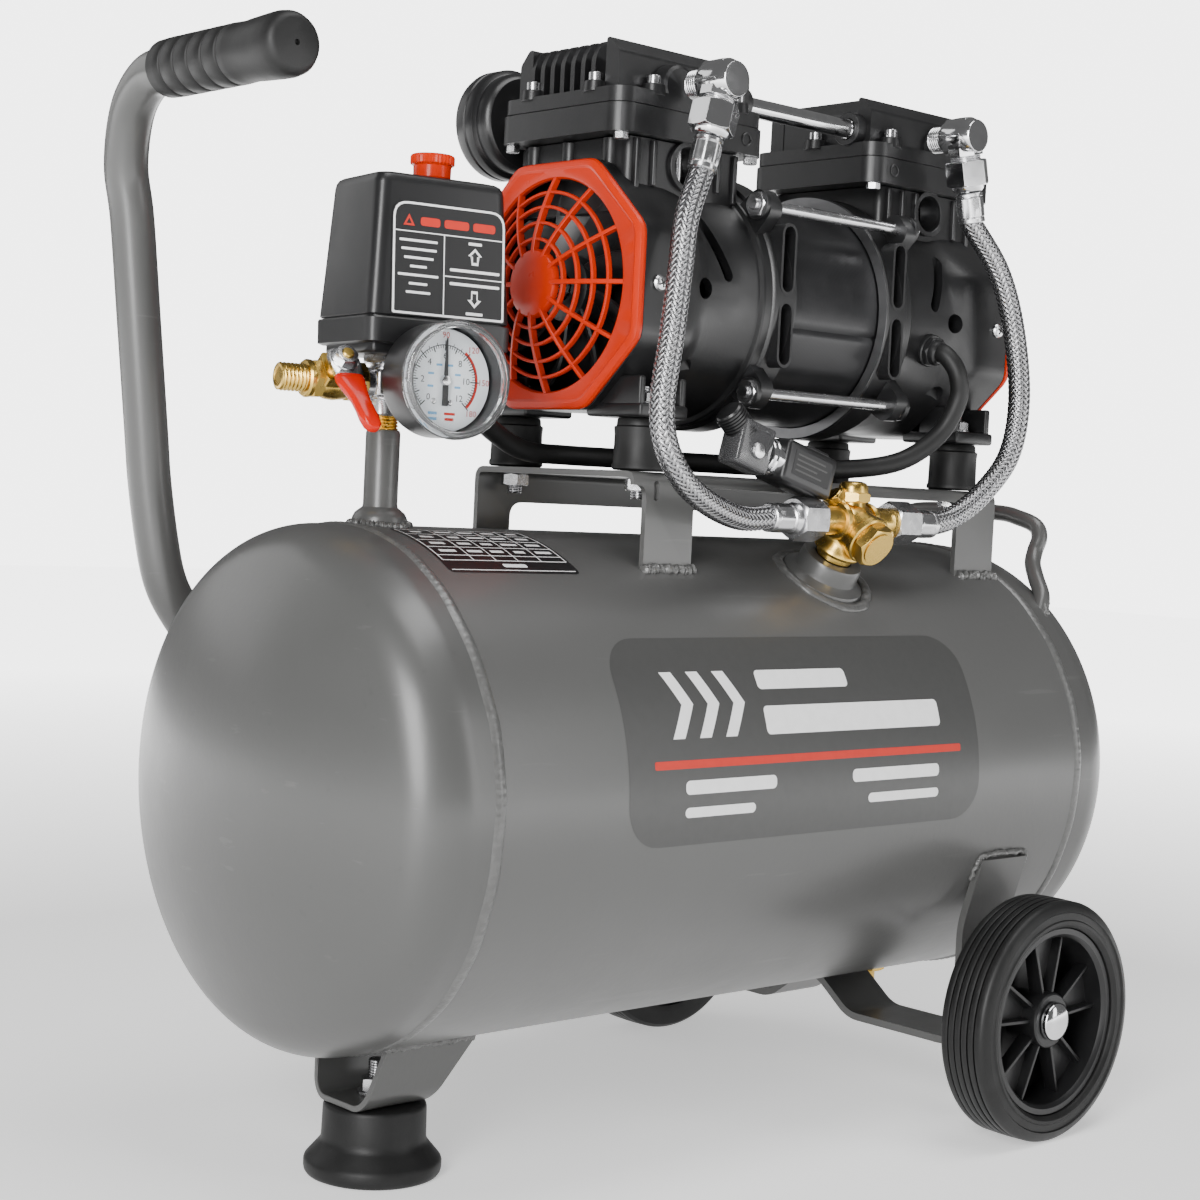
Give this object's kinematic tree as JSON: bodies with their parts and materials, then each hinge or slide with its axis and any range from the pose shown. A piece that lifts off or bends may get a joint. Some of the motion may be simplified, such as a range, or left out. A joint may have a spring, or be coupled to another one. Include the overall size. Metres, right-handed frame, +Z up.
{
  "type": "portable air compressor",
  "caption": "Horizontal cylindrical air receiver on two wheels and a rubber foot, with an oil-free twin pump, pressure switch, gauge, outlet valve and braided hoses.",
  "frame": {"origin": "on the ground under the middle of the air receiver, between the wheels' outer faces", "axes": "+Z up; +X along the receiver towards the wheels; -Y towards the side with the gauge and the check valve"},
  "size_m": [0.5426, 0.3166, 0.545],
  "materials": {
    "grey_paint": "satin grey enamel",
    "black_paint": "satin black",
    "black_plastic": "satin black",
    "rubber": "matte",
    "tyre": "matte",
    "red_plastic": "satin orange-red",
    "red_button": "gloss orange-red",
    "red_vinyl": "dipped gloss red",
    "zinc_steel": "zinc plated",
    "chrome": "bright plated",
    "steel_braid": "stainless wire braid",
    "brass": "machined",
    "laminations": "lacquered laminations",
    "clear_plastic": "clear polycarbonate",
    "white_enamel": "white printed dial"
  },
  "bodies": {
    "compressor": {"tank_shell": "grey_paint", "tank_head_front": "grey_paint", "tank_head_rear": "grey_paint", "drain_cock": "brass", "foot_bracket": "grey_paint", "rubber_foot": "rubber", "foot_bolt": "zinc_steel", "wheel_bracket": "grey_paint", "axle_bolt_near": "chrome", "axle_bolt_far": "chrome", "carry_handle": "grey_paint", "handle_grip": "rubber", "lift_handle": "grey_paint", "motor_bracket": "grey_paint", "rubber_mount_front_near": "rubber", "rubber_mount_front_far": "rubber", "rubber_mount_rear_near": "rubber", "rubber_mount_rear_far": "rubber", "crankcase_front": "black_paint", "crankcase_rear": "black_paint", "cylinder_head_front": "black_paint", "cylinder_head_rear": "black_paint", "fan_guard_front": "red_plastic", "fan_guard_rear": "red_plastic", "stator": "laminations", "tie_rod_near_upper": "zinc_steel", "tie_rod_near_lower": "zinc_steel", "tie_rod_far_upper": "zinc_steel", "tie_rod_far_lower": "zinc_steel", "crossover_pipe": "chrome", "intake_filter": "black_plastic", "hose_elbow_front": "chrome", "hose_elbow_rear": "chrome", "discharge_hose_front": "steel_braid", "discharge_hose_rear": "steel_braid", "check_valve_boss": "grey_paint", "check_valve_body": "brass", "unloader_valve": "black_plastic", "riser_pipe": "grey_paint", "manifold": "zinc_steel", "switch_base": "black_plastic", "switch_cover": "black_plastic", "gauge_case": "black_plastic", "gauge_dial": "white_enamel", "gauge_lens": "clear_plastic", "outlet_valve_body": "brass", "safety_valve": "brass", "motor_cable": "rubber"},
    "wheel_near": {"tyre_near": "tyre", "rim_near": "black_plastic"},
    "wheel_far": {"tyre_far": "tyre", "rim_far": "black_plastic"},
    "rotor": {"rotor_shaft": "zinc_steel", "fan_front": "black_plastic", "fan_rear": "black_plastic"},
    "piston_front": {"piston_rod_front": "zinc_steel"},
    "piston_rear": {"piston_rod_rear": "zinc_steel"},
    "knob": {"on_off_knob": "red_button"},
    "lever": {"outlet_lever": "red_vinyl"},
    "needle": {"gauge_needle": "black_plastic"}
  },
  "joints": [
    {"name": "wheel_near_spin", "type": "hinge", "parent": "compressor", "child": "wheel_near", "pos_m": [0.154, -0.142, 0.063], "axis": [0, 1, 0], "continuous": true},
    {"name": "wheel_far_spin", "type": "hinge", "parent": "compressor", "child": "wheel_far", "pos_m": [0.154, 0.142, 0.063], "axis": [0, 1, 0], "continuous": true},
    {"name": "motor_spin", "type": "hinge", "parent": "compressor", "child": "rotor", "pos_m": [0.06, 0, 0.425], "axis": [1, 0, 0], "continuous": true},
    {"name": "piston_front_stroke", "type": "slide", "parent": "compressor", "child": "piston_front", "axis": [0, 0, 1], "range_m": [-0.006, 0.006]},
    {"name": "piston_rear_stroke", "type": "slide", "parent": "compressor", "child": "piston_rear", "axis": [0, 0, 1], "range_m": [-0.006, 0.006]},
    {"name": "knob_pull", "type": "slide", "parent": "compressor", "child": "knob", "axis": [0, 0, 1], "range_m": [0, 0.005]},
    {"name": "outlet_lever_turn", "type": "hinge", "parent": "compressor", "child": "lever", "pos_m": [-0.205, 0.0059, 0.37], "axis": [0.1328, 0.7767, -0.6157], "range_deg": [0, 90]},
    {"name": "gauge_needle_turn", "type": "hinge", "parent": "compressor", "child": "needle", "pos_m": [-0.17861, -0.04386, 0.3714], "axis": [-0.1685, -0.9857, 0], "range_deg": [-135, 135], "stiffness_Nm_per_rad": 0.001}
  ]
}
